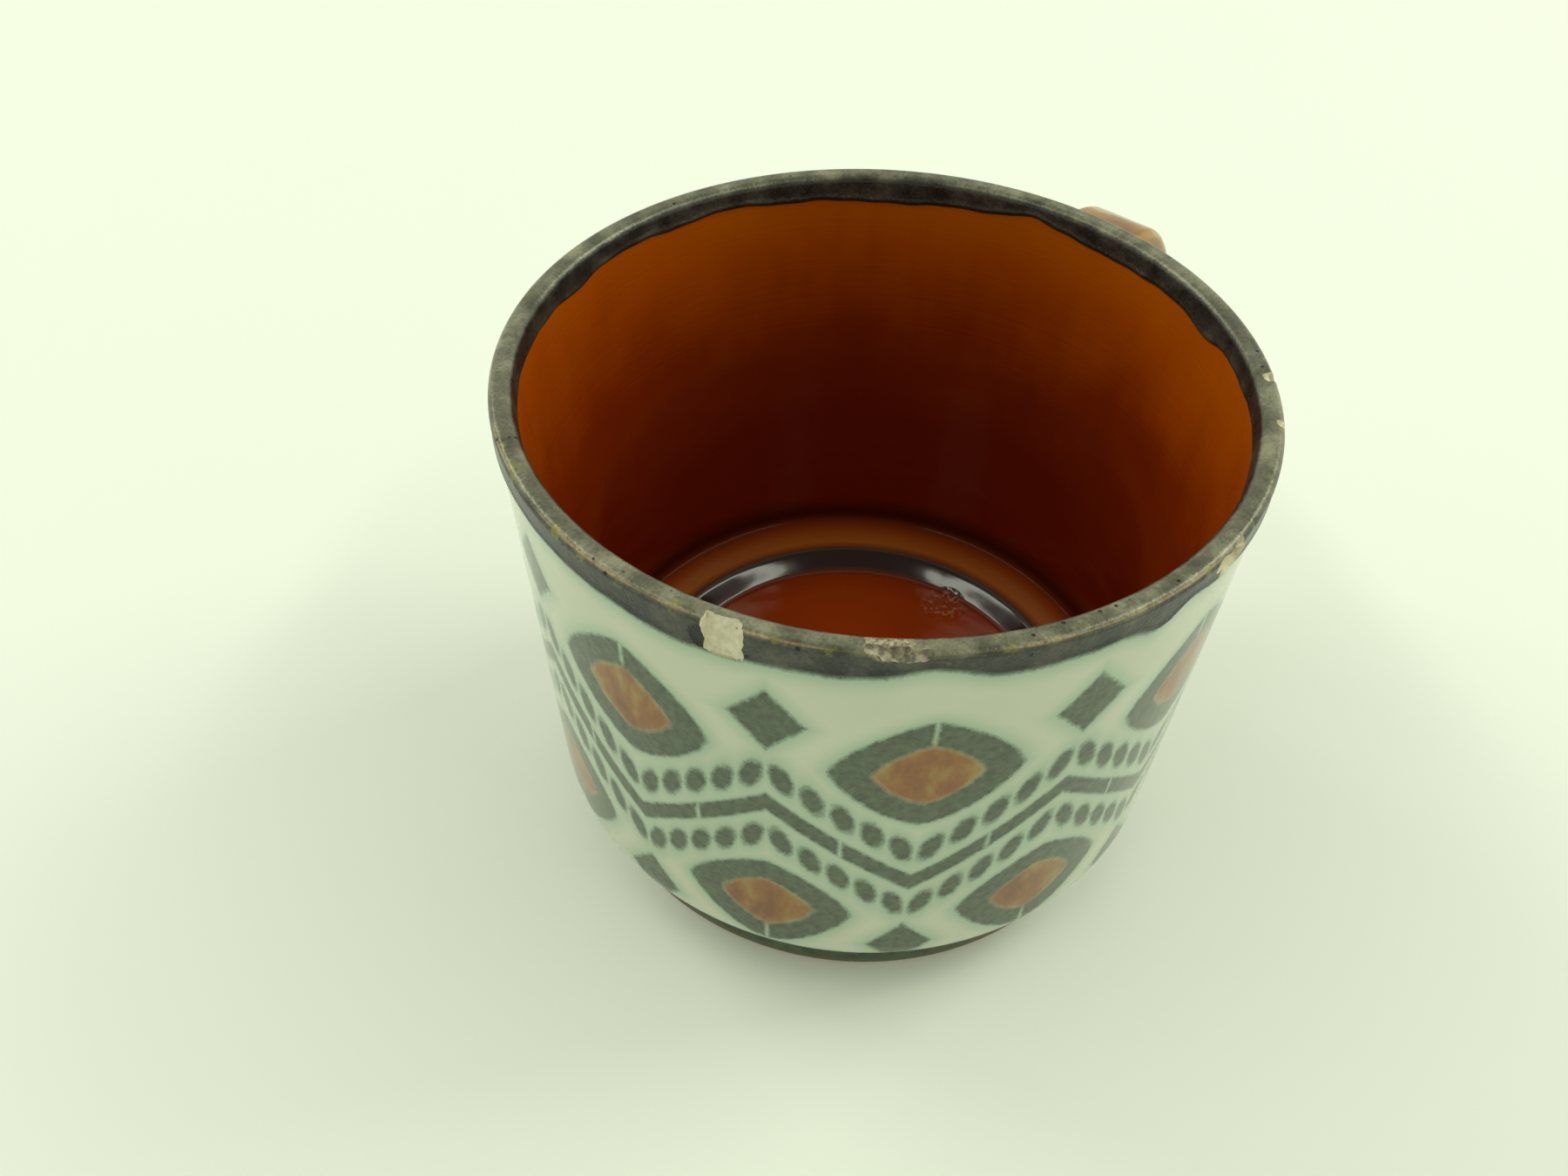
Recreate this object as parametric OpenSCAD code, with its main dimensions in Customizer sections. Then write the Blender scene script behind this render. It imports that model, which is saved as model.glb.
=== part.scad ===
// Stoneware coffee cup: a turned cup with a luted strap handle, glazed in five coats.
// The foot stands on z = 0, the cup's axis is Z and the handle points along +X.
// Sizes are in millimetres and are those of the glazed cup, as a ruler finds them.

/* [Cup] */
// Outside diameter across the lip
rim_d = 85; // [82:1:90]
// Height from the table to the top of the lip
cup_h = 65; // [62:1:72]
// Thickness of the glazed lip
lip_w = 2.6; // [2.4:0.1:3.2]
// Outside diameter at the corner where the wall turns in to the foot
shoulder_d = 78.2; // [76:0.2:80]
// Height of that corner
shoulder_z = 7.9; // [7.5:0.1:9]
// Radius that rounds it
shoulder_round = 6; // [5:0.5:6.5]

/* [Well] */
// Diameter of the flat disc in the middle of the floor
disc_d = 53.2; // [50:0.2:54]
// Height of the disc
disc_z = 7; // [6.6:0.1:7.6]
// Diameter of the ledge's inner edge
ledge_d = 58.6; // [57:0.2:61]
// Height of the ledge's inner edge
ledge_z = 9; // [8.6:0.1:9.6]
// Inside diameter where the wall meets the ledge
well_d = 69.8; // [68:0.2:70.6]
// Height of that junction
well_z = 10.5; // [10:0.1:11.5]

/* [Foot] */
// Outside diameter of the foot ring
foot_d = 70.6; // [68:0.2:71]
// Height at which the pale coat stops above the foot ring
neck_z = 6.2; // [5.8:0.1:6.6]
// Width of the bare face that stands on the table
stand_w = 3; // [2.5:0.1:4]
// Depth of the hollow under the floor
hollow_h = 3; // [2:0.1:3.2]

/* [Glaze] */
// Thickness of each coat
coat_t = 0.3; // [0.2:0.05:0.35]
// Thickness of the dark coat that is dipped over the lip
rim_t = 0.3; // [0.2:0.05:0.35]
// How far the dark coat runs down outside
rim_run_out = 3.5; // [3:0.1:4]
// How far the dark coat runs down inside
rim_run_in = 3.1; // [2.6:0.1:3.6]

/* [Handle] */
// Width of the strap
strap_w = 10.9; // [10:0.1:13]
// Thickness of the strap
strap_t = 5.2; // [4.6:0.1:5.6]
// Radius that rounds the strap's four long edges
strap_round = 1.5; // [1:0.1:2]
// Radius of the strap's middle in its upper bend
upper_bend = 11; // [10:0.5:12]
// Radius of the strap's middle in its long lower bend
lower_bend = 27; // [25:0.5:29]
// Distance from the cup's axis to the centre of the upper bend
bend_x = 46.5; // [46:0.1:48]
// Height of the centres of both bends
bend_z = 47.5; // [46:0.1:48]
// Thickness of the slip that joins the strap to the wall
slip_t = 0.5; // [0.4:0.1:0.8]
// How far the slip's fillet spreads round the strap
slip_spread = 1.3; // [1:0.1:1.6]

/* [Hidden] */
$fn = 144;
arc_step = 9;       // degrees between the points of a rounded corner
foot_bevel = 0.6;   // bevel at both edges of the standing face
edge_steps = 120;   // points round the dark coat's lower edge

// The biscuit's own outline lies one or two coats under the glazed one.
lip_z = cup_h - coat_t - rim_t;
lip_out = rim_d / 2 - coat_t - rim_t;
lip_in = rim_d / 2 - lip_w + coat_t + rim_t;
crest = [(lip_out + lip_in) / 2, lip_z, 0];
foot_r = foot_d / 2 - coat_t;
neck = [foot_r + 1.05, neck_z, 0];
hollow_r = foot_r - 2 * foot_bevel - stand_w;

// Each outline is a list of [radius, height, rounding], walked with the clay on its right.
inside = [
    [0, disc_z - coat_t, 0],
    [disc_d / 2, disc_z - coat_t, 2],
    [ledge_d / 2, ledge_z - coat_t, 2.2],
    [well_d / 2 + coat_t, well_z - coat_t, 1.6],
    [lip_in, lip_z, 0.45],
    crest];
outside = [
    crest,
    [lip_out, lip_z, 0.25],
    [shoulder_d / 2 - coat_t, shoulder_z, shoulder_round - coat_t],
    neck];
foot_wall = [
    [foot_r + 0.15, neck_z - 0.1, 0],
    [foot_r, foot_bevel, 0]];
hollow = [
    [hollow_r, foot_bevel, 0],
    [hollow_r - 0.3, hollow_h + coat_t, 1],
    [0, hollow_h + coat_t, 0]];

// Where the lip is chipped: [direction, depth below the lip, half width, bite]
chips = [[-162.8, 1.7, 2.4, 1.2], [-142.2, 0.3, 1.8, 0.9], [-90.5, 1.6, 1.5, 0.7], [-51.6, 0.3, 0.7, 0.4],
    [-62.6, 0.3, 0.6, 0.4]];

// Where the dark coat ran further or fell short: [direction, half width in degrees, extra depth]
drips_out = [[-172, 14, 1.15], [-136.5, 5, -1.4], [-104.8, 3, 1.3], [-100, 3, -0.6]];
drips_in = [[35, 16, 0.45], [9, 4, -0.85], [103, 4, 0.5], [66, 6, -0.5], [-33, 4, 1]];

function unit(v) = v / norm(v);
function left(v) = [-v[1], v[0]];
function turned(v, a) = [v[0] * cos(a) - v[1] * sin(a), v[0] * sin(a) + v[1] * cos(a)];
function spot(c, i) = [c[i][0], c[i][1]];
function heading(c, i) = unit(spot(c, i + 1) - spot(c, i));

// Point or rounded corner i of outline c, grown by t
function corner(c, t, i) =
    i == 0 ? [spot(c, 0) + t * left(heading(c, 0))]
    : i == len(c) - 1 ? [spot(c, i) + t * left(heading(c, i - 1))]
    : let (
        a = heading(c, i - 1),
        b = heading(c, i),
        turn = acos(a * b),
        side = sign(cross(a, b)),
        r = max(c[i][2] - side * t, 0),
        p = spot(c, i) + t * (left(a) + left(b)) / (1 + a * b),
        start = p - r * tan(turn / 2) * a,
        centre = start + side * r * left(a),
        n = ceil(turn / arc_step))
    r == 0 ? [p] : [for (k = [0:n]) centre - side * r * turned(left(a), side * turn * k / n)];

// Radius at height z on the straight line through points a and b of an outline
function wall_r(z, a, b) = a[0] + (b[0] - a[0]) * (a[1] - z) / (a[1] - b[1]);

function grown(c, t) = [for (i = [0:len(c) - 1]) each corner(c, t, i)];
function reversed(v) = [for (i = [len(v) - 1:-1:0]) v[i]];

// A coat between two distances from the outline
module coat(c, t_in, t_out) {
    rotate_extrude() polygon(concat(grown(c, t_out), reversed(grown(c, t_in))));
}

// The whole inside of the cup's outer wall, grown by t, which trims what meets the wall
module wall_plug(t) {
    rotate_extrude() polygon(concat(grown(outside, t), [[0, neck_z], [0, lip_z + t]]));
}

// Shallow shell-shaped bites knocked out of the lip
module chip_bites() {
    for (c = chips) {
        r = (c[2] * c[2] + c[3] * c[3]) / (2 * c[3]);
        rotate([0, 0, c[0]])
            translate([rim_d / 2 + r - c[3], 0, cup_h - c[1]])
                sphere(r = r);
    }
}

// The strap's cross-section, thickness along x and width along y, grown by t
module strap_section(t) {
    x = strap_t / 2 - coat_t - strap_round;
    y = strap_w / 2 - coat_t - strap_round;
    polygon([for (q = [0:3]) for (k = [0:5])
        let (a = 90 * q + 18 * k, sx = [1, -1, -1, 1][q], sy = [1, 1, -1, -1][q])
        [sx * x + (strap_round + t) * cos(a), sy * y + (strap_round + t) * sin(a)]]);
}

// Moves a shape made round the origin to a bend's centre, in the plane of the handle
module at_bend(x) {
    translate([x, 0, bend_z]) rotate([90, 0, 0]) children();
}

lower_x = bend_x + upper_bend - lower_bend;
root_angle = 70;    // how far the lower bend has turned where it meets the wall

// The whole strap, its ends buried in the wall, grown by t
module strap(t) {
    translate([bend_x - 8, 0, bend_z + upper_bend])
        rotate([90, 0, 90]) linear_extrude(8) rotate(90) strap_section(t);
    at_bend(bend_x) rotate_extrude(angle = 90) translate([upper_bend, 0]) strap_section(t);
    at_bend(lower_x) mirror([0, 1, 0])
        rotate_extrude(angle = root_angle + 8) translate([lower_bend, 0]) strap_section(t);
}

// A flared collar round the strap's root, made along z from inside the wall outwards
module collar(t) {
    hull() {
        linear_extrude(3) rotate(90) strap_section(slip_spread + t);
        translate([0, 0, 3 + slip_spread]) linear_extrude(0.1 + t) rotate(90) strap_section(0.1 + t);
    }
}

module upper_collar(t) {
    translate([lip_out - 3.2, 0, bend_z + upper_bend]) rotate([90, 0, 90]) collar(t);
}

module lower_collar(t) {
    at_bend(lower_x) rotate([0, 0, -root_angle]) translate([lower_bend, -3.4, 0])
        rotate([-90, 0, 0]) rotate([0, 0, 90]) collar(t);
}

module stoneware_body() {
    color("#c9b89a") difference() {
        rotate_extrude() polygon(concat(
            grown(inside, 0),
            grown(outside, 0),
            grown(foot_wall, 0),
            [[foot_r - foot_bevel, 0], [foot_r - foot_bevel - stand_w, 0]],
            grown(hollow, 0)));
        chip_bites();
    }
}

module handle() {
    color("#c9b89a") difference() {
        strap(0);
        wall_plug(slip_t);
    }
}

module upper_slip_joint() {
    color("#b7a88c") difference() {
        upper_collar(0);
        wall_plug(0);
        handle();
    }
}

module lower_slip_joint() {
    color("#b7a88c") difference() {
        lower_collar(0);
        wall_plug(0);
        handle();
    }
}

module lining_glaze() {
    color("#5a1c06") coat(inside, 0, coat_t);
}

module outer_glaze() {
    color("#c3ceb0") difference() {
        coat(outside, 0, coat_t);
        chip_bites();
        upper_collar(coat_t);
        lower_collar(coat_t);
    }
}

// How far the dark coat has run down in direction a, as its uneven dipping left it
function run_at(run, drips, a, phase) = run
    + 0.12 * sin(5 * a + phase) + 0.1 * sin(9 * a + phase) + 0.08 * sin(17 * a + phase)
    + extra_run(drips, a, len(drips) - 1);

// The share of drips 0 to i in direction a, each a smooth tongue or gap
function extra_run(drips, a, i) =
    i < 0 ? 0
    : let (away = ((a - drips[i][0] + 540) % 360 - 180) / drips[i][1])
    drips[i][2] * exp(-away * away) + extra_run(drips, a, i - 1);

// Ring from radius r_in to r_out whose top follows the coat's wavy lower edge
module below_edge(run, drips, phase, r_in, r_out) {
    low = cup_h - 3 * run;
    points = [for (k = [0:edge_steps - 1])
        let (a = 360 * k / edge_steps, top = cup_h - run_at(run, drips, a, phase))
        each [for (p = [[r_in, low], [r_out, low], [r_out, top], [r_in, top]])
            [p[0] * cos(a), p[0] * sin(a), p[1]]]];
    faces = [for (k = [0:edge_steps - 1]) for (j = [0:3])
        let (next = (k + 1) % edge_steps, i = (j + 1) % 4)
        each [[4 * k + j, 4 * k + i, 4 * next + i], [4 * k + j, 4 * next + i, 4 * next + j]]];
    polyhedron(points, faces);
}

module rim_glaze() {
    low = cup_h - rim_run_out - 1.9;
    over_lip = [
        [wall_r(low, inside[4], inside[3]), low, 0],
        inside[4],
        outside[1],
        [wall_r(low, outside[1], outside[2]), low, 0]];
    color("#57584a") difference() {
        coat(over_lip, coat_t, coat_t + rim_t);
        below_edge(rim_run_in, drips_in, 200, lip_in - 4, crest[0]);
        below_edge(rim_run_out, drips_out, 60, crest[0], lip_out + 4);
        upper_collar(coat_t);
        chip_bites();
    }
}

module foot_glaze() {
    color("#3d4a36") coat(foot_wall, 0, coat_t);
}

module base_glaze() {
    color("#c3ceb0") coat(hollow, 0, coat_t);
}

module handle_glaze() {
    color("#7a4416") difference() {
        union() {
            strap(coat_t);
            upper_collar(coat_t);
            lower_collar(coat_t);
        }
        wall_plug(0);
        strap(0);
        upper_collar(0);
        lower_collar(0);
    }
}

stoneware_body();
handle();
upper_slip_joint();
lower_slip_joint();
lining_glaze();
outer_glaze();
rim_glaze();
foot_glaze();
base_glaze();
handle_glaze();
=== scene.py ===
"""A glazed stoneware coffee cup: its coats and bare clay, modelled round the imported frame."""
from functools import partial
from math import acos, atan2, ceil, cos, degrees, exp, hypot, pi, radians, sin, sqrt, tan

import bpy
from mathutils import Matrix, Vector, noise


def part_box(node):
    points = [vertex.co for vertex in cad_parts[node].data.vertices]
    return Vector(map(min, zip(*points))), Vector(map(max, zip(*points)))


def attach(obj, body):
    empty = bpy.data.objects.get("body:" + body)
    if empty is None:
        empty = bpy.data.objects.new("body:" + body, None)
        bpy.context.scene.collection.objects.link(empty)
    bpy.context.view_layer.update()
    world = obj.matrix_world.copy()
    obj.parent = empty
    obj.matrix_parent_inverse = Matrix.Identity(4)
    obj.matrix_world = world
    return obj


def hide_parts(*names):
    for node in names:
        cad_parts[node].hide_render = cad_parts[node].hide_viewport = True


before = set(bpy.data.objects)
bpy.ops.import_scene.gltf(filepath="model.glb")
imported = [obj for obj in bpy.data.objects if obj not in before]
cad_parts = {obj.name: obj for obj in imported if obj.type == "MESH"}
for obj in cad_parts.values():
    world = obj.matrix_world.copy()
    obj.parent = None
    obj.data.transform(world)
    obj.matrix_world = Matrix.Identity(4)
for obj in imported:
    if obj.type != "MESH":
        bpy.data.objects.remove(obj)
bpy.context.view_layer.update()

MM = 0.001

# ---------------------------------------------------------------- sizes, in millimetres
CUP_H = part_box("rim_glaze")[1].z / MM
RIM_R = 42.5
LIP_W = 2.6
SHOULDER_R, SHOULDER_Z, SHOULDER_ROUND = 39.1, 7.9, 6.0
DISC_R, DISC_Z = 26.6, 7.0
LEDGE_R, LEDGE_Z = 29.3, 9.0
WELL_R, WELL_Z = 34.9, 10.5
FOOT_R, NECK_Z = 35.3, 6.2
STAND_W, FOOT_BEVEL, HOLLOW_H = 3.0, 0.6, 3.0
COAT = 0.3
RIM_COAT = 0.3
RIM_RUN_OUT, RIM_RUN_IN = 3.5, 3.1
BEAD = 0.1          # how much the dark coat swells where its edge stopped running

STRAP_W, STRAP_T, STRAP_ROUND = 10.9, 5.2, 1.5
BEND_X, BEND_Z = 46.5, 47.5
UPPER_BEND, LOWER_BEND = 11.0, 27.0

ROUND = 240         # steps of a full turn
ARC_STEP = 6        # degrees between the points of a rounded corner

# ---------------------------------------------------------------- outlines
LIP_Z = CUP_H - COAT - RIM_COAT
LIP_OUT = RIM_R - COAT - RIM_COAT
LIP_IN = RIM_R - LIP_W + COAT + RIM_COAT
CREST = (LIP_OUT + LIP_IN) / 2
BARE_FOOT_R = FOOT_R - COAT
HOLLOW_R = BARE_FOOT_R - 2 * FOOT_BEVEL - STAND_W

# Each outline is a list of (radius, height, rounding), walked with the clay on its right.
INSIDE = [
    (0, DISC_Z - COAT, 0),
    (DISC_R, DISC_Z - COAT, 2),
    (LEDGE_R, LEDGE_Z - COAT, 2.2),
    (WELL_R + COAT, WELL_Z - COAT, 1.6),
    (LIP_IN, LIP_Z, 0.45),
    (CREST, LIP_Z, 0)]
OUTSIDE = [
    (CREST, LIP_Z, 0),
    (LIP_OUT, LIP_Z, 0.25),
    (SHOULDER_R - COAT, SHOULDER_Z, SHOULDER_ROUND - COAT),
    (BARE_FOOT_R + 1.05, NECK_Z, 0)]
FOOT_WALL = [
    (BARE_FOOT_R + 0.15, NECK_Z - 0.1, 0),
    (BARE_FOOT_R, FOOT_BEVEL, 0)]
HOLLOW = [
    (HOLLOW_R, FOOT_BEVEL, 0),
    (HOLLOW_R - 0.3, HOLLOW_H + COAT, 1),
    (0, HOLLOW_H + COAT, 0)]


def left(v):
    return Vector((-v.y, v.x))


def heading(outline, i):
    return (Vector(outline[i + 1][:2]) - Vector(outline[i][:2])).normalized()


def grown(outline, t):
    """The outline moved t away from the clay, with its corners rounded."""
    first, last = Vector(outline[0][:2]), Vector(outline[-1][:2])
    points = [first + t * left(heading(outline, 0))]
    for i in range(1, len(outline) - 1):
        a, b = heading(outline, i - 1), heading(outline, i)
        turn = acos(a.dot(b))
        side = 1 if a.cross(b) > 0 else -1
        r = max(outline[i][2] - side * t, 0)
        corner = Vector(outline[i][:2]) + t * (left(a) + left(b)) / (1 + a.dot(b))
        if r == 0:
            points.append(corner)
            continue
        centre = corner - r * tan(turn / 2) * a + side * r * left(a)
        steps = ceil(degrees(turn) / ARC_STEP)
        for k in range(steps + 1):
            arm = left(a)
            arm.rotate(Matrix.Rotation(side * turn * k / steps, 2))
            points.append(centre - side * r * arm)
    points.append(last + t * left(heading(outline, len(outline) - 2)))
    return points


def filled_in(points, spacing):
    """The same line with points no further apart than spacing."""
    dense = [points[0]]
    for a, b in zip(points, points[1:]):
        parts = ceil((b - a).length / spacing)
        dense += [a.lerp(b, k / parts) for k in range(1, parts + 1)]
    return dense


# ---------------------------------------------------------------- modelling helpers
def started(name):
    """Names the primitive just added, and puts its place into its mesh."""
    piece = bpy.context.object
    piece.name = piece.data.name = name
    bpy.ops.object.transform_apply(location=True, rotation=True, scale=True)
    return piece


def only(piece):
    bpy.ops.object.select_all(action="DESELECT")
    piece.select_set(True)
    bpy.context.view_layer.objects.active = piece


def turned(name, outline, closed=True):
    """A turned piece: a point is drawn along the outline, and spin takes it round the axis."""
    r, z = outline[0]
    bpy.ops.object.select_all(action="DESELECT")
    bpy.ops.mesh.primitive_plane_add(size=MM, location=(r * MM, 0, z * MM))
    piece = started(name)
    bpy.ops.object.mode_set(mode="EDIT")
    bpy.ops.mesh.select_all(action="SELECT")
    bpy.ops.mesh.merge(type="CENTER")
    stops = outline[1:] + outline[:1] if closed else outline[1:]
    for stop in stops:
        step = ((stop[0] - r) * MM, 0, (stop[1] - z) * MM)
        bpy.ops.mesh.extrude_region_move(TRANSFORM_OT_translate={"value": step})
        r, z = stop
    bpy.ops.mesh.select_all(action="SELECT")
    bpy.ops.mesh.spin(steps=ROUND, angle=2 * pi, center=(0, 0, 0), axis=(0, 0, 1))
    bpy.ops.mesh.select_all(action="SELECT")
    bpy.ops.mesh.remove_doubles(threshold=2e-6)
    bpy.ops.mesh.normals_make_consistent(inside=False)
    bpy.ops.object.mode_set(mode="OBJECT")
    return piece


def bearing(v):
    """Direction of a point seen from the cup's axis, in degrees from the handle."""
    return degrees(atan2(v.y, v.x))


def spot(a, r, z):
    """The place in direction a, r from the axis and z above the table."""
    return r * cos(radians(a)), r * sin(radians(a)), z


# ---------------------------------------------------------------- the dark coat's uneven edge
# Where it ran further or fell short: [direction, half width in degrees, extra depth]
DRIPS_OUT = [(-172, 14, 1.15), (-136.5, 5, -1.4), (-104.8, 3, 1.3), (-100, 3, -0.6)]
DRIPS_IN = [(35, 16, 0.45), (9, 4, -0.85), (103, 4, 0.5), (66, 6, -0.5), (-33, 4, 1.0)]


def run_at(run, drips, a, phase):
    """How far the dark coat ran down in direction a."""
    depth = run
    for amount, times in ((0.12, 5), (0.1, 9), (0.08, 17), (0.05, 31), (0.05, 53)):
        depth += amount * sin(radians(times * a + phase))
    for place, width, extra in drips:
        away = (a - place + 180) % 360 - 180
        depth += extra * exp(-(away / width) ** 2)
    return depth


def run_inside(a):
    return run_at(RIM_RUN_IN, DRIPS_IN, a, 200)


def run_outside(a):
    return run_at(RIM_RUN_OUT, DRIPS_OUT, a, 60)


# ---------------------------------------------------------------- materials
def paint(code):
    """An sRGB hex value as a linear colour."""
    channels = [int(code[i:i + 2], 16) / 255 for i in (1, 3, 5)]
    return (*[c / 12.92 if c <= 0.04045 else ((c + 0.055) / 1.055) ** 2.4 for c in channels], 1)


def node(tree, kind, *values, out=0, named={}, stops=(), **settings):
    """Adds a node, with its operation after a dot, its settings, its inputs in order and by name,
    and a ramp's stops, of which the first two move the stops that it has; gives one of its outputs."""
    kind, _, operation = kind.partition(".")
    made = tree.nodes.new("ShaderNode" + kind)
    if operation:
        made.operation = operation
    for key, value in settings.items():
        setattr(made, key, value)
    for key, value in [*enumerate(values), *named.items()]:
        if isinstance(value, bpy.types.NodeSocket):
            tree.links.new(value, made.inputs[key])
        elif value is not None:
            made.inputs[key].default_value = value
    for i, (place, code) in enumerate(stops):
        stop = made.color_ramp.elements[i] if i < 2 else made.color_ramp.elements.new(place)
        stop.position, stop.color = place, paint(code)
    return made.outputs[out] if made.outputs else None


def new_material(name):
    """A material, its node adder and the place on the piece in millimetres."""
    material = bpy.data.materials.new(name)
    material.use_nodes = True
    material.node_tree.nodes.clear()
    add = partial(node, material.node_tree)
    place = add("VectorMath.MULTIPLY", add("TexCoord", out="Object"), (1 / MM,) * 3)
    return material, add, place


def surface(add, colour, roughness, relief=None, **sockets):
    """The shader that ends a material; relief is a height in millimetres."""
    named = {"Base Color": colour, "Roughness": roughness}
    named.update({key.replace("_", " "): value for key, value in sockets.items()})
    if relief:
        named["Normal"] = add("Bump", 1.0, MM, named={"Height": relief})
    add("OutputMaterial", add("BsdfPrincipled", named=named))


def stencilled_glaze():
    """Clear glaze over a stencilled folk border on white slip.

    Eight repeats of 32 mm: a zigzag between rows of seeds, with lozenges in its bays. The eye sees
    green pigment with a grainy edge that bled a millimetre or two into the glaze, brushed rust hearts,
    pale ties where the stencil was bridged, and a wet gloss.
    """
    m, add, place = new_material("clear glaze over stencilled colours")
    x, y, z = (add("SeparateXYZ", place, out=i) for i in range(3))
    repeats, cell = 8, 32.0
    middle, swing = 32.0, 6.5       # the zigzag's mean height and half its rise
    line_half, slant = 1.15, 0.776  # slant turns a difference in height into a distance from its line
    big_at, big_wide, big_tall = 13.9, 9.8, 8.7         # a lozenge's place and its half sizes
    small_at, small_wide, small_tall = 20.4, 3.9, 4.6
    squareness = 1.4                # 1 has straight sides, 2 is an ellipse
    seed_at, seed_wide, seed_tall, seed_half_pitch = 5.7, 1.28, 2.15, 1.6
    tie_half = 0.22
    grain = add("TexNoise", place, named={"Scale": 1.1, "Detail": 3.0})
    fine = add("TexNoise", place, named={"Scale": 4.0, "Detail": 1.0})
    cloud = add("TexNoise", place, named={"Scale": 0.08, "Detail": 2.0})
    turn = add("Math.MULTIPLY", add("Math.ARCTAN2", y, x), repeats / (2 * pi))
    bay = add("Math.PINGPONG", turn, 0.5)                   # 0 where the zigzag is low, 0.5 where high
    zigzag = add("Math.MULTIPLY_ADD", bay, 4 * swing, middle - swing)
    above = add("Math.GREATER_THAN", z, zigzag)
    share = add("Math.ABSOLUTE", add("Math.SUBTRACT", add("Math.MULTIPLY_ADD", above, -0.5, 0.5), bay))
    aside = add("Math.MULTIPLY", share, cell)               # distance from the bay's middle line
    rise = add("Math.MULTIPLY", add("Math.SUBTRACT", z, middle), add("Math.MULTIPLY_ADD", above, 2.0, -1.0))
    # the lozenge in each bay
    across = add("Math.POWER", add("Math.DIVIDE", aside, big_wide), squareness)
    along = add("Math.DIVIDE", add("Math.ABSOLUTE", add("Math.SUBTRACT", rise, big_at)), big_tall)
    along = add("Math.POWER", along, squareness)
    lozenge = add("Math.POWER", add("Math.ADD", across, along), 1 / squareness)
    ring = add("Math.MAXIMUM", add("Math.MULTIPLY_ADD", lozenge, 7.0, -7.0),
               add("Math.MULTIPLY_ADD", lozenge, -7.0, 4.0))
    tie = add("Math.SUBTRACT", tie_half, aside)
    tie = add("Math.MINIMUM", tie, add("Math.SUBTRACT", rise, big_at))
    ring = add("Math.MAXIMUM", ring, tie)
    # the zigzag line, with a tie in each limb
    line = add("Math.ABSOLUTE", add("Math.SUBTRACT", z, zigzag))
    line = add("Math.MULTIPLY_ADD", line, slant, -line_half)
    tie = add("Math.SUBTRACT", tie_half, add("Math.ABSOLUTE", add("Math.SUBTRACT", aside, cell / 4)))
    line = add("Math.MAXIMUM", line, tie)
    # slanting seeds on both sides of it
    seat = add("Math.MULTIPLY_ADD", share, 4 * swing, seed_at - swing)
    off_seed = add("Math.PINGPONG", add("Math.SUBTRACT", aside, seed_half_pitch), seed_half_pitch)
    seed = add("CombineXYZ", add("Math.DIVIDE", off_seed, seed_wide),
               add("Math.DIVIDE", add("Math.SUBTRACT", rise, seat), seed_tall))
    seed = add("Math.SUBTRACT", add("VectorMath.LENGTH", seed, out="Value"), 1.0)
    # a small lozenge between the large ones
    small = add("Math.ADD", add("Math.DIVIDE", add("Math.SUBTRACT", cell / 2, aside), small_wide),
                add("Math.DIVIDE", add("Math.ABSOLUTE", add("Math.SUBTRACT", rise, small_at)), small_tall))
    small = add("Math.MULTIPLY_ADD", small, 2.4, -2.4)
    shapes = add("Math.MINIMUM", add("Math.MINIMUM", ring, line), add("Math.MINIMUM", seed, small))
    rough = add("Math.ADD", add("Math.MULTIPLY_ADD", grain, 0.45, -0.22),
                add("Math.MULTIPLY_ADD", fine, 0.35, -0.17))
    green = add("MapRange", add("Math.ADD", shapes, rough), 0.26, -0.24, 0.0, 1.0)
    heart = add("MapRange", lozenge, 0.74, 0.5, 0.0, 1.0)
    # the dark coat's green fringe, and the bleed round every shape
    gap = add("Attribute", attribute_name="below_rim", out="Fac")
    fringe = add("MapRange", add("Math.MULTIPLY_ADD", rough, 1.2, gap), 0.75, 0.1, 0.0, 1.0)
    bleed = add("MapRange", add("Math.MINIMUM", shapes, add("Math.MULTIPLY_ADD", gap, 0.7, -0.3)),
                2.0, 0.0, 0.0, 1.0)
    bleed = add("Math.POWER", bleed, 1.5)
    ground = add("MixRGB", cloud, paint("#c2c7b0"), paint("#cfd2bd"))
    ground = add("MixRGB", add("Math.MULTIPLY", bleed, 0.8), ground, paint("#93b296"))
    ink = add("MixRGB", add("MapRange", grain, 0.35, 0.65), paint("#3f4a36"), paint("#55624a"))
    ink = add("MixRGB", add("MapRange", fine, 0.62, 0.75, 0.0, 0.3), ink, paint("#76825f"))
    brushed = add("VectorMath.MULTIPLY", place, (0.8, 0.8, 0.4))
    brush = add("TexNoise", brushed, named={"Scale": 0.45, "Detail": 4.0, "Roughness": 0.6})
    brush = add("Math.ADD", brush, add("Math.MULTIPLY_ADD", add("Math.POWER", lozenge, 3.0), 0.55, -0.03))
    rust = add("ValToRGB", brush, stops=((0.36, "#7a4a1f"), (0.74, "#9d8646"), (0.52, "#8f5c20")))
    colour = add("MixRGB", heart, ground, rust)
    colour = add("MixRGB", green, colour, ink)
    colour = add("MixRGB", fringe, colour, paint("#3b4a35"))
    peel = add("TexNoise", place, named={"Scale": 0.4, "Detail": 2.0})
    surface(add, colour, 0.12, add("Math.MULTIPLY", peel, 0.05), IOR=1.5)
    return m


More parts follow.
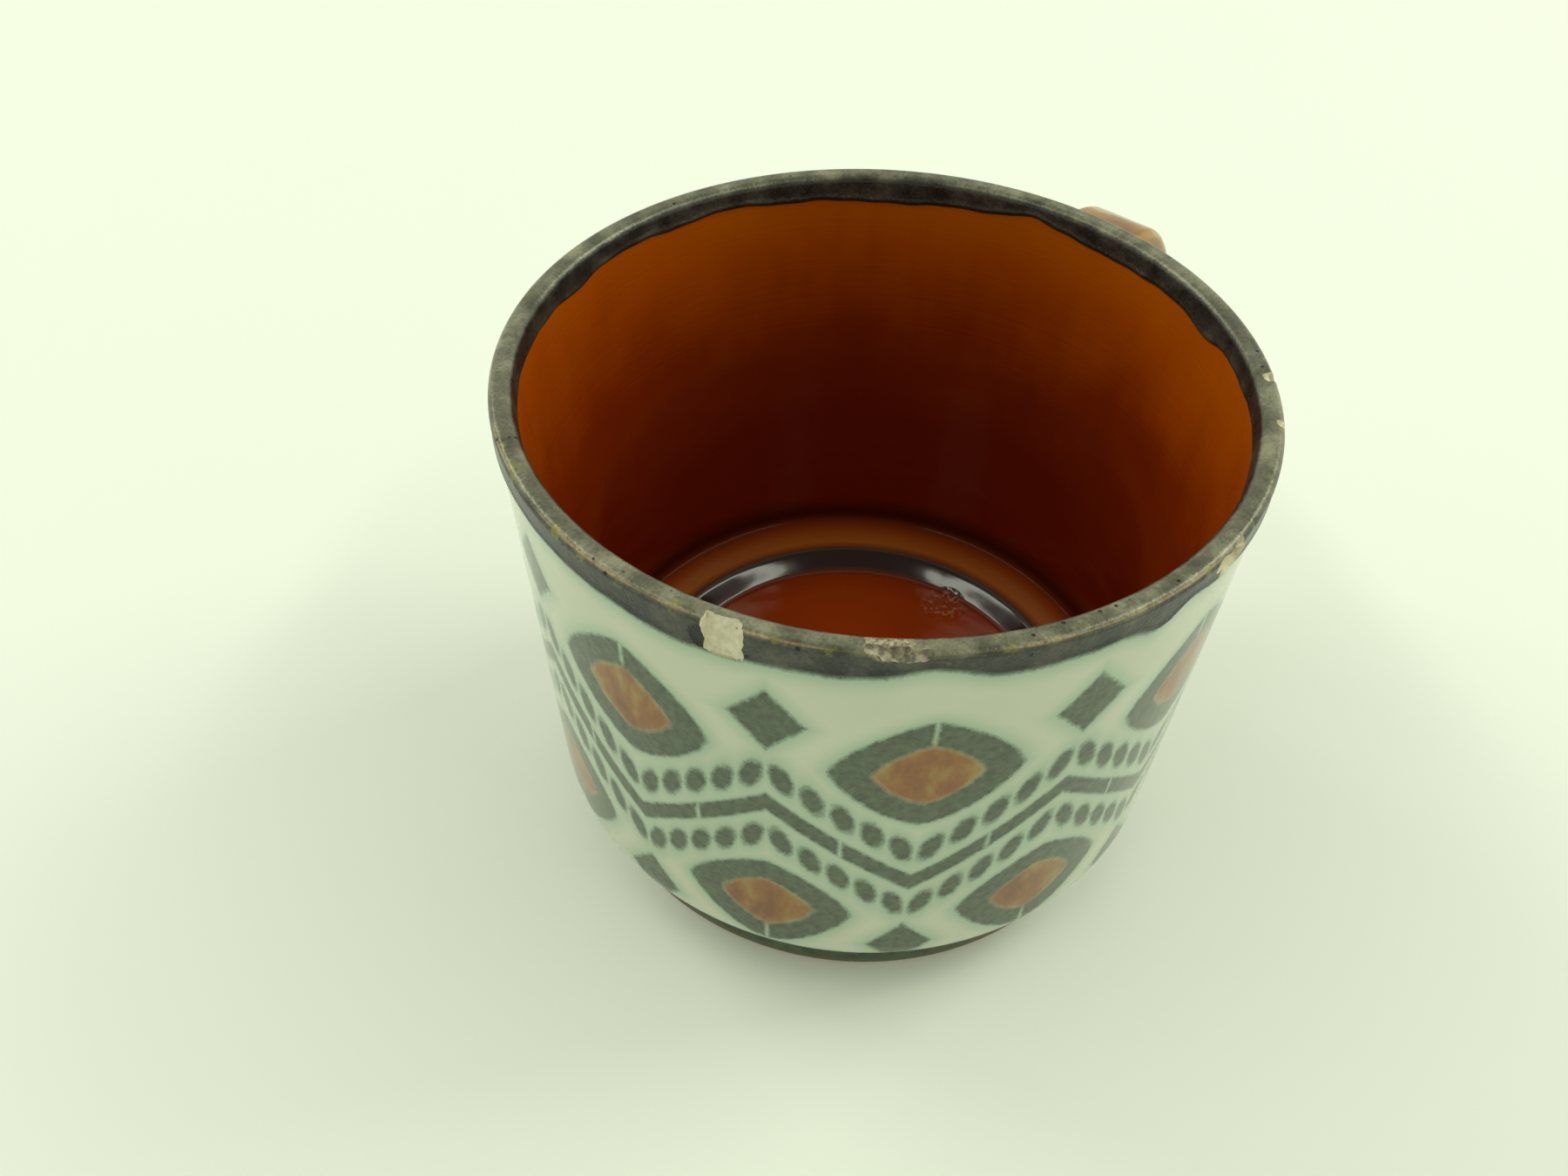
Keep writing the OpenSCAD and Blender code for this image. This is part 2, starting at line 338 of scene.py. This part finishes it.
def poured_brown():
    """Iron brown glaze, poured in and out: amber where it drained thin under the lip, darker towards the
    bottom partly where it pooled and partly as painted shade of the cup's depth, with painted shade in dark
    rings on the step and under the wall, and the jigger's faint rings showing through."""
    m, add, place = new_material("poured iron brown glaze")
    x, y, z = (add("SeparateXYZ", place, out=i) for i in range(3))
    r = add("VectorMath.LENGTH", add("CombineXYZ", x, y), out="Value")
    cloud = add("TexNoise", place, named={"Scale": 0.06, "Detail": 3.0})
    rings = add("TexNoise", None, add("Math.MULTIPLY", z, 0.55), noise_dimensions="1D", named={"Detail": 2.0})
    drained = add("TexNoise", add("VectorMath.MULTIPLY", place, (1.0, 1.0, 0.1)), named={"Scale": 0.35})
    level = add("Math.MULTIPLY_ADD", cloud, 22.0, add("Math.SUBTRACT", z, 11.0))
    level = add("Math.ADD", level, add("Math.MULTIPLY_ADD", rings, 5.0, -2.5))
    level = add("Math.ADD", level, add("Math.MULTIPLY_ADD", drained, 4.0, -2.0))
    # the wall darkens towards the bottom: partly glaze pooled thicker, partly painted shade deep in the cup
    wall = add("ValToRGB", add("MapRange", level, WELL_Z, LIP_Z), stops=(
        (0.0, "#741f08"), (1.0, "#b85c04"), (0.3, "#701e06"), (0.6, "#852d04"), (0.84, "#ad4d03")))
    # painted shade: the dark rings on the step's slope and in the corner under the wall
    floor = add("ValToRGB", add("MapRange", r, 22.0, 36.5), stops=(
        (0.0, "#b6460a"), (1.0, "#330a03"), (0.26, "#a63c06"), (0.36, "#350c04"), (0.5, "#2c0903"),
        (0.6, "#b9640f"), (0.78, "#9a4208"), (0.92, "#330b03")))
    low = add("MapRange", z, WELL_Z + 1.2, WELL_Z + 4, 0.0, 1.0)
    colour = add("MixRGB", low, floor, wall)
    # a patch of burst bubbles beside the step; their pale specks are painted glints
    patch = add("VectorMath.DISTANCE", place, spot(5, DISC_R - 2.4, DISC_Z), out="Value")
    froth = add("TexNoise", place, named={"Scale": 1.3, "Detail": 1.0})
    patch = add("MapRange", patch, 3.4, 2.0, 0.0, 1.0)
    froth_glints = add("Math.MULTIPLY", add("MapRange", froth, 0.54, 0.6, 0.0, 0.75), patch)
    colour = add("MixRGB", froth_glints, colour, paint("#c79a72"))
    froth = add("Math.MULTIPLY", add("Math.MULTIPLY", froth, patch), 0.16)
    relief = add("Math.ADD", add("Math.MULTIPLY", cloud, 0.3), froth)
    # the glaze pooled and matted in the corner under the wall
    matt = add("Math.MULTIPLY", add("MapRange", r, 31.8, 33.0), add("MapRange", z, WELL_Z + 3, WELL_Z + 1.5))
    surface(add, colour, add("MapRange", z, WELL_Z, WELL_Z + 3, 0.12, 0.09), relief, IOR=1.52,
            Specular_IOR_Level=add("MapRange", matt, 0.0, 1.0, 0.5, 0.06))
    return m


def gunmetal_glaze():
    """Manganese glaze over the lip, fired to a dull, almost metallic skin: clouded grey on top with a painted
    sheen, rubbed through to tan along the outer arris with a painted highlight there, darker where it hangs
    outside as painted shade, pinholed, and with a painted shadow beside the largest chip."""
    m, add, place = new_material("gunmetal manganese glaze")
    x, y, z = (add("SeparateXYZ", place, out=i) for i in range(3))
    r = add("VectorMath.LENGTH", add("CombineXYZ", x, y), out="Value")
    cloud = add("TexNoise", place, named={"Scale": 0.3, "Detail": 5.0})
    grit = add("TexNoise", place, named={"Scale": 2.6, "Detail": 2.0})
    lift = add("Math.SUBTRACT", r, z)
    # the top's lighter grey is a painted sheen, the hanging sides' darker grey painted shade
    top = add("ValToRGB", add("Math.MULTIPLY_ADD", grit, 0.25, add("Math.MULTIPLY", cloud, 0.75)), stops=(
        (0.36, "#4a493b"), (0.64, "#8c8a72"), (0.5, "#686654")))
    side = add("ValToRGB", add("Math.MULTIPLY_ADD", grit, 0.3, add("Math.MULTIPLY", cloud, 0.7)), stops=(
        (0.38, "#282a26"), (0.64, "#54534a"), (0.5, "#3b3c37")))
    shaded_hang = add("MapRange", add("Math.MULTIPLY_ADD", cloud, 0.3, z), CUP_H - 0.05, CUP_H - 0.45, 0.0, 1.0)
    colour = add("MixRGB", shaded_hang, top, side)
    # a worn line no wider than the arris, broken where it was rubbed less, and partly a painted highlight
    # along it
    arris = add("Math.ABSOLUTE", add("Math.ADD", lift, CUP_H - RIM_R + 0.02))
    away = add("Math.MAXIMUM", arris, add("Math.SUBTRACT", RIM_R - 0.8, r))
    patch = add("TexNoise", place, named={"Scale": 0.11, "Detail": 3.0})
    width = add("MapRange", patch, 0.42, 0.58, 0.0, 0.2)
    wear_and_highlight = add("Math.MULTIPLY_ADD", grit, 0.25, add("Math.SUBTRACT", away, width))
    wear_and_highlight = add("MapRange", wear_and_highlight, 0.19, 0.04, 0.0, 0.95)
    buff_and_highlight = add("MixRGB", add("MapRange", grit, 0.3, 0.7), paint("#846f4f"), paint("#bda783"))
    colour = add("MixRGB", wear_and_highlight, colour, buff_and_highlight)
    # the thick lower edge, with green showing through
    edge = add("Attribute", attribute_name="from_edge", out="Fac")
    low = add("MapRange", add("Math.MULTIPLY_ADD", cloud, 1.2, edge), 1.35, 0.75, 0.0, 0.85)
    colour = add("MixRGB", low, colour, paint("#2b3628"))
    fleck = add("MapRange", add("TexNoise", place, named={"Scale": 0.45, "Detail": 3.0}), 0.6, 0.66, 0.0, 0.6)
    fleck = add("Math.MULTIPLY", fleck, add("MapRange", away, 1.5, 0.6, 0.0, 1.0))
    colour = add("MixRGB", fleck, colour, paint("#85863f"))
    cells = add("TexVoronoi", place, named={"Scale": 0.6}, out="Distance")
    pinholes_and_chip_shadow = add("Math.MULTIPLY", add("MapRange", cells, 0.14, 0.09, 0.0, 1.0),
              add("MapRange", patch, 0.5, 0.56, 0.0, 1.0))
    # painted shadow: the black wedge in the undercut beside the largest chip, joined to the pinholes
    chip_side_shadow = add("VectorMath.DISTANCE", place, spot(-165.2, RIM_R - 0.25, CUP_H - 2.4), out="Value")
    chip_side_shadow = add("MapRange", add("Math.MULTIPLY_ADD", grit, 0.7, chip_side_shadow), 2.1, 1.7, 0.0, 1.0)
    pinholes_and_chip_shadow = add("Math.MAXIMUM", pinholes_and_chip_shadow, chip_side_shadow)
    colour = add("MixRGB", pinholes_and_chip_shadow, colour, paint("#161711"))
    # the scuffed patch round the second chip
    scuff = add("VectorMath.SUBTRACT", place, spot(-142.2, RIM_R - 0.8, CUP_H))
    scuff = add("VectorMath.LENGTH", add("VectorMath.MULTIPLY", scuff, (1.0, 1.0, 2.4)), out="Value")
    scuff = add("MapRange", add("Math.MULTIPLY_ADD", cloud, 3.0, scuff), 4.2, 3.5, 0.0, 0.9)
    scar = add("MixRGB", add("MapRange", grit, 0.36, 0.64), paint("#6a6350"), paint("#bfb497"))
    colour = add("MixRGB", scuff, colour, scar)
    relief = add("Math.ADD", add("Math.MULTIPLY", cloud, 0.14), add("Math.MULTIPLY", grit, 0.05))
    relief = add("Math.ADD", relief, add("Math.MULTIPLY", add("Math.MULTIPLY", scuff, grit), 0.15))
    relief = add("Math.SUBTRACT", relief, add("Math.MULTIPLY", pinholes_and_chip_shadow, 0.2))
    surface(add, colour, add("MapRange", cloud, 0.3, 0.7, 0.24, 0.38), relief, Metallic=0.4, IOR=1.5)
    return m


def strap_glaze():
    """The brown glaze again, dipped thicker on the strap: it breaks to amber over the rounded arrises."""
    m, add, place = new_material("iron brown glaze breaking amber")
    cloud = add("TexNoise", place, named={"Scale": 0.16, "Detail": 4.0})
    arris = add("Attribute", attribute_name="arris", out="Fac")
    arris = add("MapRange", add("Math.MULTIPLY_ADD", cloud, 0.9, arris), 0.75, 1.35, 0.0, 1.0)
    body = add("ValToRGB", cloud, stops=((0.35, "#724509"), (0.65, "#a57719"), (0.5, "#8c5f0c")))
    colour = add("MixRGB", arris, body, paint("#b08238"))
    surface(add, colour, 0.12, add("Math.MULTIPLY", cloud, 0.25), IOR=1.45)
    return m


def foot_green():
    """Copper green glaze wiped round the foot ring, thinned to brown above the bare clay."""
    m, add, place = new_material("dark copper green glaze")
    z = add("SeparateXYZ", place, out=2)
    cloud = add("TexNoise", place, named={"Scale": 0.4, "Detail": 4.0})
    body = add("MixRGB", add("MapRange", cloud, 0.35, 0.65), paint("#2c3a29"), paint("#4e6046"))
    thin = add("MapRange", add("Math.MULTIPLY_ADD", cloud, 1.6, z), 2.4, 1.3, 0.0, 1.0)
    surface(add, add("MixRGB", thin, body, paint("#6d5c3e")), 0.14, add("Math.MULTIPLY", cloud, 0.1), IOR=1.5)
    return m


def plain_glaze():
    """The clear glaze where nothing is painted, with a slow drift of tone where it lies thick."""
    m, add, place = new_material("plain clear glaze")
    cloud = add("TexNoise", place, named={"Scale": 0.1, "Detail": 3.0})
    colour = add("MixRGB", add("MapRange", cloud, 0.3, 0.7), paint("#b4bf9e"), paint("#ccd0b3"))
    surface(add, colour, 0.13, add("Math.MULTIPLY", cloud, 0.2), IOR=1.5)
    return m


def bare_stoneware():
    """Fired pale clay where the glaze is missing: a dry fine-grained face with small iron specks."""
    m, add, place = new_material("bare pale stoneware")
    grain = add("TexNoise", place, named={"Scale": 1.6, "Detail": 5.0})
    speck = add("TexVoronoi", place, named={"Scale": 0.8}, out="Distance")
    colour = add("MixRGB", add("MapRange", grain, 0.3, 0.7), paint("#c9c2a6"), paint("#e3dcc2"))
    colour = add("MixRGB", add("MapRange", speck, 0.12, 0.07, 0.0, 0.6), colour, paint("#7a6548"))
    # use has greyed the scuff at the second chip
    scuff = add("VectorMath.DISTANCE", place, spot(-141.4, RIM_R - 0.8, CUP_H - 0.4), out="Value")
    dirt = add("MapRange", add("Math.MULTIPLY_ADD", grain, 1.2, scuff), 5.2, 4.0, 0.0, 0.9)
    dirty = add("MixRGB", add("MapRange", grain, 0.38, 0.6), paint("#5c584a"), paint("#a89e85"))
    colour = add("MixRGB", dirt, colour, dirty)
    surface(add, colour, 0.7, add("Math.MULTIPLY", grain, 0.06), IOR=1.5)
    return m


PALE, BROWN, GUNMETAL = stencilled_glaze(), poured_brown(), gunmetal_glaze()
STRAP, GREEN, PLAIN, CLAY = strap_glaze(), foot_green(), plain_glaze(), bare_stoneware()


# ---------------------------------------------------------------- pieces
def coat(name, outline, t_in, t_out, spacing=1.2, inner_spacing=4.0):
    """A closed shell between two distances from an outline."""
    outer = filled_in(grown(outline, t_out), spacing)
    inner = filled_in(grown(outline, t_in), inner_spacing)
    return turned(name, [tuple(p) for p in outer + inner[::-1]])


def stored(piece, name, rule):
    """Stores a number for each point of the mesh, for a material to read."""
    layer = piece.data.attributes.new(name, "FLOAT", "POINT")
    for i, v in enumerate(piece.data.vertices):
        layer.data[i].value = rule(v.co / MM)


def modified(piece, kind, **settings):
    only(piece)
    change = piece.modifiers.new(kind.lower(), kind)
    for key, value in settings.items():
        setattr(change, key, value)
    bpy.ops.object.modifier_apply(modifier=change.name)


def below_lip(outline, z, outside):
    """Radius of the clay wall at height z."""
    a, b = (outline[1], outline[2]) if outside else (outline[4], outline[3])
    return a[0] + (b[0] - a[0]) * (a[1] - z) / (a[1] - b[1])


# Five flakes knocked off the lip: (direction, depth of the middle below the lip, half width,
# half height, bite there, lean outwards in degrees, roundness)
CHIPS = [
    (-162.8, 2.25, 1.95, 2.55, 0.95, 5, 0.25),
    (-141.4, 0.3, 2.7, 0.9, 0.7, 50, 0.65),
    (-91.5, 1.8, 2.3, 1.2, 0.9, 12, 0.9),
    (-51.6, 0.3, 0.8, 0.9, 0.95, 35, 0.6),
    (-62.6, 0.3, 0.6, 0.8, 0.9, 35, 0.6)]
CHIP_HALF_T = 2.0       # half the thickness of the block that cuts a chip


def chip_cutter():
    """Rough rounded blocks, each set where a flake was knocked off the lip."""
    blocks = []
    for a, depth, half_w, half_h, bite, lean, roundness in CHIPS:
        bpy.ops.object.select_all(action="DESELECT")
        bpy.ops.mesh.primitive_cube_add(size=2)
        block = started("chip")
        block.data.materials.append(CLAY)
        bpy.ops.object.mode_set(mode="EDIT")
        bpy.ops.mesh.select_all(action="SELECT")
        bpy.ops.mesh.subdivide(number_cuts=11)
        bpy.ops.transform.tosphere(value=roundness)
        bpy.ops.object.mode_set(mode="OBJECT")
        place = (Matrix.Rotation(radians(a), 4, "Z") @ Matrix.Translation((RIM_R - bite, 0, CUP_H - depth))
                 @ Matrix.Rotation(radians(-lean), 4, "Y") @ Matrix.Translation((CHIP_HALF_T, 0, 0)))
        for v in block.data.vertices:
            point = Vector((v.co.x * CHIP_HALF_T, v.co.y * half_w, v.co.z * half_h))
            # each point moves only away from the block's middle, so that the block never cuts itself
            ragged = noise.noise(point * 0.9 + Vector((a, 0, 0))) * (0.04 + 0.5 * roundness)
            ragged += noise.noise(point * 2.6 + Vector((0, a, 0))) * 0.06
            v.co = (place @ (point * (1 + ragged))) * MM
        blocks.append(block)
    only(blocks[0])
    for block in blocks:
        block.select_set(True)
    bpy.ops.object.join()
    return blocks[0]


def chipped(piece, cutter, material):
    """Cuts the chips out of a piece; the broken faces show the cutter's clay."""
    piece.data.materials.append(material)
    modified(piece, "BOOLEAN", operation="DIFFERENCE", solver="EXACT", material_mode="TRANSFER",
             object=cutter)


def finished(piece, node_name, material=None, angle=38):
    """Smooths a piece, gives it its finish, hangs it under the root and hides the CAD part it stands for."""
    only(piece)
    bpy.ops.object.shade_smooth_by_angle(angle=radians(angle))
    if material:
        piece.data.materials.append(material)
    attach(piece, "root")
    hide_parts(node_name)


def clay_body(cutter):
    outline = (grown(INSIDE, 0)[:-1] + grown(OUTSIDE, 0) + grown(FOOT_WALL, 0)
               + [Vector((BARE_FOOT_R - FOOT_BEVEL, 0)), Vector((BARE_FOOT_R - FOOT_BEVEL - STAND_W, 0))]
               + grown(HOLLOW, 0))
    piece = turned("clay_body", [tuple(p) for p in filled_in(outline, 3.0)], closed=False)
    chipped(piece, cutter, CLAY)
    finished(piece, "stoneware_body")


def lining(cutter):
    """The brown lining; its inner face carries the jigger's faint rings."""
    pitch, second_pitch, swell = 3.3, 5.2, 0.02
    strongest_z, reach = 22, 14
    piece = coat("lining_skin", INSIDE, 0, COAT, 0.8)
    for v in piece.data.vertices:
        z = v.co.z / MM
        if z > WELL_Z + 2:
            wave = sin(2 * pi * z / pitch) + 0.6 * sin(2 * pi * z / second_pitch + 1)
            r = hypot(v.co.x, v.co.y)
            v.co.xy *= 1 + swell * wave * exp(-((z - strongest_z) / reach) ** 2) * MM / r
    chipped(piece, cutter, BROWN)
    finished(piece, "lining_glaze")


def outer_skin(cutter):
    piece = coat("outer_skin", OUTSIDE, 0, COAT, 0.9)
    chipped(piece, cutter, PALE)
    stored(piece, "below_rim", lambda p: CUP_H - run_outside(bearing(p)) - p.z)
    finished(piece, "outer_glaze")


def rim_skin(cutter):
    """The dark coat over the lip: both skirts are turned to one depth, then drawn to where they ran."""
    level, low = CUP_H - 1.2, CUP_H - 5
    bead_at, bead_reach = 0.45, 0.4
    over_lip = [(below_lip(INSIDE, low, False), low, 0), INSIDE[4], OUTSIDE[1],
                (below_lip(OUTSIDE, low, True), low, 0)]
    outer = filled_in(grown(over_lip, COAT + RIM_COAT), 0.3)
    inner = filled_in(grown(over_lip, COAT), 1.0)
    piece = turned("rim_skin", [tuple(p) for p in outer + inner[::-1]])
    for v in piece.data.vertices:
        z, r = v.co.z / MM, hypot(v.co.x, v.co.y) / MM
        if z > level:
            continue
        outside = r > CREST
        side, outline = (1, OUTSIDE) if outside else (-1, INSIDE)
        run = (run_outside if outside else run_inside)(bearing(v.co))
        thick = side * (r - below_lip(outline, z, outside)) - COAT
        share = min(1, (level - z) / (level - low))
        new_z = level - share * (run - (CUP_H - level))
        from_edge = new_z - (CUP_H - run)
        if thick > 0.1:
            thick += BEAD * exp(-((from_edge - bead_at) / bead_reach) ** 2)
            thick *= min(1, 0.35 + 1.5 * from_edge)
        new_r = below_lip(outline, new_z, outside) + side * (COAT + thick)
        v.co = Vector((v.co.x * new_r / r, v.co.y * new_r / r, new_z * MM))
    chipped(piece, cutter, GUNMETAL)
    stored(piece, "from_edge", lambda p: p.z - CUP_H
           + (run_outside if hypot(p.x, p.y) > CREST else run_inside)(bearing(p)))
    finished(piece, "rim_glaze")


def foot_skins():
    finished(coat("foot_skin", FOOT_WALL, 0, COAT, 0.6), "foot_glaze", GREEN)
    finished(coat("base_skin", HOLLOW, 0, COAT, 1.5), "base_glaze", PLAIN)


# ---------------------------------------------------------------- the strap handle's coat
NEAR_WALL = (0, 0.12, 0.3, 0.5, 0.75, 1.05, 1.4, 1.8, 2.3, 2.9)     # stations along the slip's fillet
FILLET_REACH, FILLET_SPREAD = NEAR_WALL[-1], 1.8
STRAP_POINTS, BEND_STEPS, LOWER_STEPS = 56, 14, 16
LOWER_X = BEND_X + UPPER_BEND - LOWER_BEND
SEAT = COAT - 0.04      # how far outside the clay wall the strap's coat begins


def strap_edge(k, spread):
    """Point k of the strap's cross-section: across its thickness and across its width."""
    a = 2 * pi * (k + 0.5) / STRAP_POINTS
    r = STRAP_ROUND + COAT + spread
    u, v = STRAP_T / 2 - COAT - STRAP_ROUND, STRAP_W / 2 - COAT - STRAP_ROUND
    # the points bunch at the rounded corners
    corner = round((a - pi / 4) / (pi / 2)) * (pi / 2) + pi / 4
    a = corner + (a - corner) ** 3 / (pi / 4) ** 2 * 0.25 + (a - corner) * 0.75
    sign_u, sign_v = (1 if cos(corner) > 0 else -1), (1 if sin(corner) > 0 else -1)
    return sign_u * u + r * cos(a), sign_v * v + r * sin(a)


def flare(d):
    """How far the slip's fillet spreads at distance d from the wall."""
    return FILLET_SPREAD * (1 - d / FILLET_REACH) ** 2 if d < FILLET_REACH else 0


def at_upper(u, v, d):
    """A point of the upper root, d from the wall."""
    z = BEND_Z + UPPER_BEND + u
    return sqrt((below_lip(OUTSIDE, z, True) + SEAT) ** 2 - v ** 2) + d, v, z


def at_lower(u, v, turn):
    """A point of the lower bend, turned so far round its centre."""
    r = LOWER_BEND + u
    return LOWER_X + r * cos(turn), v, BEND_Z - r * sin(turn)


def lower_meeting(u, v):
    """How far round the lower bend a line of the strap meets the wall."""
    near, far = radians(40), radians(88)
    for _ in range(30):
        turn = (near + far) / 2
        x, y, z = at_lower(u, v, turn)
        if hypot(x, y) > below_lip(OUTSIDE, z, True) + SEAT:
            near = turn
        else:
            far = turn
    return near


def strap_point(k, part, t):
    """Point k of the section at one station: t is a share of the part, or at a root the distance
    from the wall."""
    if part == "upper root":
        return at_upper(*strap_edge(k, flare(t)), t)
    u, v = strap_edge(k, flare(t) if part == "lower root" else 0)
    if part == "upper run":
        start = at_upper(u, v, FILLET_REACH)[0]
        return start + (BEND_X - start) * t, v, BEND_Z + UPPER_BEND + u
    if part == "bend":
        a = radians(90 * (1 - t))
        return BEND_X + (UPPER_BEND + u) * cos(a), v, BEND_Z + (UPPER_BEND + u) * sin(a)
    meeting = lower_meeting(u, v)
    if part == "lower run":
        return at_lower(u, v, t * (meeting - FILLET_REACH / (LOWER_BEND + u)))
    return at_lower(u, v, meeting - t / (LOWER_BEND + u))


def strap_skin():
    """A ring of the strap's section, extruded station by station from wall to wall, then drawn to shape."""
    stations = [("upper root", d) for d in NEAR_WALL] + [("upper run", 0.5)]
    stations += [("bend", k / BEND_STEPS) for k in range(BEND_STEPS + 1)]
    stations += [("lower run", k / LOWER_STEPS) for k in range(1, LOWER_STEPS + 1)]
    stations += [("lower root", d) for d in NEAR_WALL[-2::-1]]
    bpy.ops.object.select_all(action="DESELECT")
    bpy.ops.mesh.primitive_circle_add(vertices=STRAP_POINTS, radius=MM)
    piece = started("strap_skin")
    bpy.ops.object.mode_set(mode="EDIT")
    bpy.ops.mesh.select_all(action="SELECT")
    for _ in stations[1:]:
        bpy.ops.mesh.extrude_region_move(TRANSFORM_OT_translate={"value": (0, 0, MM)})
    bpy.ops.object.mode_set(mode="OBJECT")
    for v in piece.data.vertices:
        k = round(atan2(v.co.y, v.co.x) / (2 * pi) * STRAP_POINTS) % STRAP_POINTS
        v.co = Vector(strap_point(k, *stations[round(v.co.z / MM)])) * MM
    only(piece)
    bpy.ops.object.mode_set(mode="EDIT")
    bpy.ops.mesh.select_all(action="SELECT")
    bpy.ops.mesh.normals_make_consistent(inside=False)
    bpy.ops.object.mode_set(mode="OBJECT")
    layer = piece.data.attributes.new("arris", "FLOAT", "POINT")
    for i in range(len(piece.data.vertices)):
        a = 2 * pi * ((i % STRAP_POINTS) + 0.5) / STRAP_POINTS
        layer.data[i].value = abs(sin(2 * a)) ** 3
    modified(piece, "SOLIDIFY", thickness=COAT * MM, offset=-1, use_even_offset=True)
    finished(piece, "handle_glaze", STRAP)


cutter = chip_cutter()
clay_body(cutter)
lining(cutter)
outer_skin(cutter)
rim_skin(cutter)
foot_skins()
strap_skin()
bpy.data.objects.remove(cutter)
for name in ("handle", "upper_slip_joint", "lower_slip_joint"):
    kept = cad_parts[name]
    kept.data.materials.clear()
    kept.data.materials.append(CLAY)


# ---------------------------------------------------------------- floor, light and camera
CAMERA_TURN, CAMERA_REACH, CAMERA_RISE = -56.0, 125.3, 156.4
CAMERA_PAN, CAMERA_DIP, CAMERA_ROLL = 4.64, 45.36, 1.75
PHOTO_WIDTH, FOCAL_PIXELS = 1800, 1620
TURN = Matrix.Rotation(radians(CAMERA_TURN), 4, "Z")
DAYLIGHT = "#f9ffec"        # a little yellow green, as through a thin blind
SHADE_RISE = 60             # how high the room's darker side stands, in degrees
# (name, place as the camera's side sees it, width, depth, power)
LAMPS = [
    ("left slit", (-0.66, -0.34, 1.16), 1.0, 0.13, 2.6),
    ("right slit", (0.74, -0.16, 1.16), 1.0, 0.13, 2.6),
    ("far left", (-1.04, 0.56, 0.96), 0.6, 0.6, 4.7),
    ("far right", (1.04, 0.56, 0.96), 0.6, 0.6, 5.7)]


def paper_floor():
    bpy.ops.object.select_all(action="DESELECT")
    bpy.ops.mesh.primitive_plane_add(size=6, location=(0, 0, 0))
    floor = started("floor")
    m, add, place = new_material("pale paper")
    add("OutputMaterial", add("BsdfDiffuse", paint("#f5f8f0")))
    floor.data.materials.append(m)


def softbox(name, place, width, depth, power):
    """A rectangular lamp, turned towards the middle of the cup."""
    light = bpy.data.lights.new(name, "AREA")
    light.shape, light.size, light.size_y = "RECTANGLE", width, depth
    light.energy, light.color = power, paint(DAYLIGHT)[:3]
    box = bpy.data.objects.new(name, light)
    aim = Vector((0, 0, CUP_H / 2 * MM)) - Vector(place)
    box.matrix_world = TURN @ Matrix.Translation(place) @ aim.to_track_quat("-Z", "Y").to_matrix().to_4x4()
    bpy.context.collection.objects.link(box)


def room_light():
    """An even pale room, darker on the side that faces the cup's front."""
    world = bpy.data.worlds.new("pale room")
    world.use_nodes = True
    world.node_tree.nodes.clear()
    add = partial(node, world.node_tree)
    shade = TURN @ Vector((0, -cos(radians(SHADE_RISE)), sin(radians(SHADE_RISE))))
    toward = add("VectorMath.DOT_PRODUCT", add("TexCoord", out="Generated"), tuple(shade), out="Value")
    level = add("MapRange", toward, 0.45, 0.88, 0.9, 0.2)
    add("OutputWorld", add("Background", paint(DAYLIGHT), level))
    bpy.context.scene.world = world


scene = bpy.context.scene
scene.view_settings.view_transform = "Standard"
paper_floor()
room_light()
for lamp in LAMPS:
    softbox(*lamp)
camera = bpy.data.objects.new("camera", bpy.data.cameras.new("camera"))
camera.data.sensor_width, camera.data.lens = 36, FOCAL_PIXELS * 36 / PHOTO_WIDTH
camera.data.clip_start = 0.01
camera.matrix_world = (
    TURN @ Matrix.Translation(Vector((0, -CAMERA_REACH, CAMERA_RISE)) * MM)
    @ Matrix.Rotation(radians(CAMERA_PAN), 4, "Z")
    @ Matrix.Rotation(radians(90 - CAMERA_DIP), 4, "X")
    @ Matrix.Rotation(radians(CAMERA_ROLL), 4, "Z"))
bpy.context.collection.objects.link(camera)
scene.camera = camera
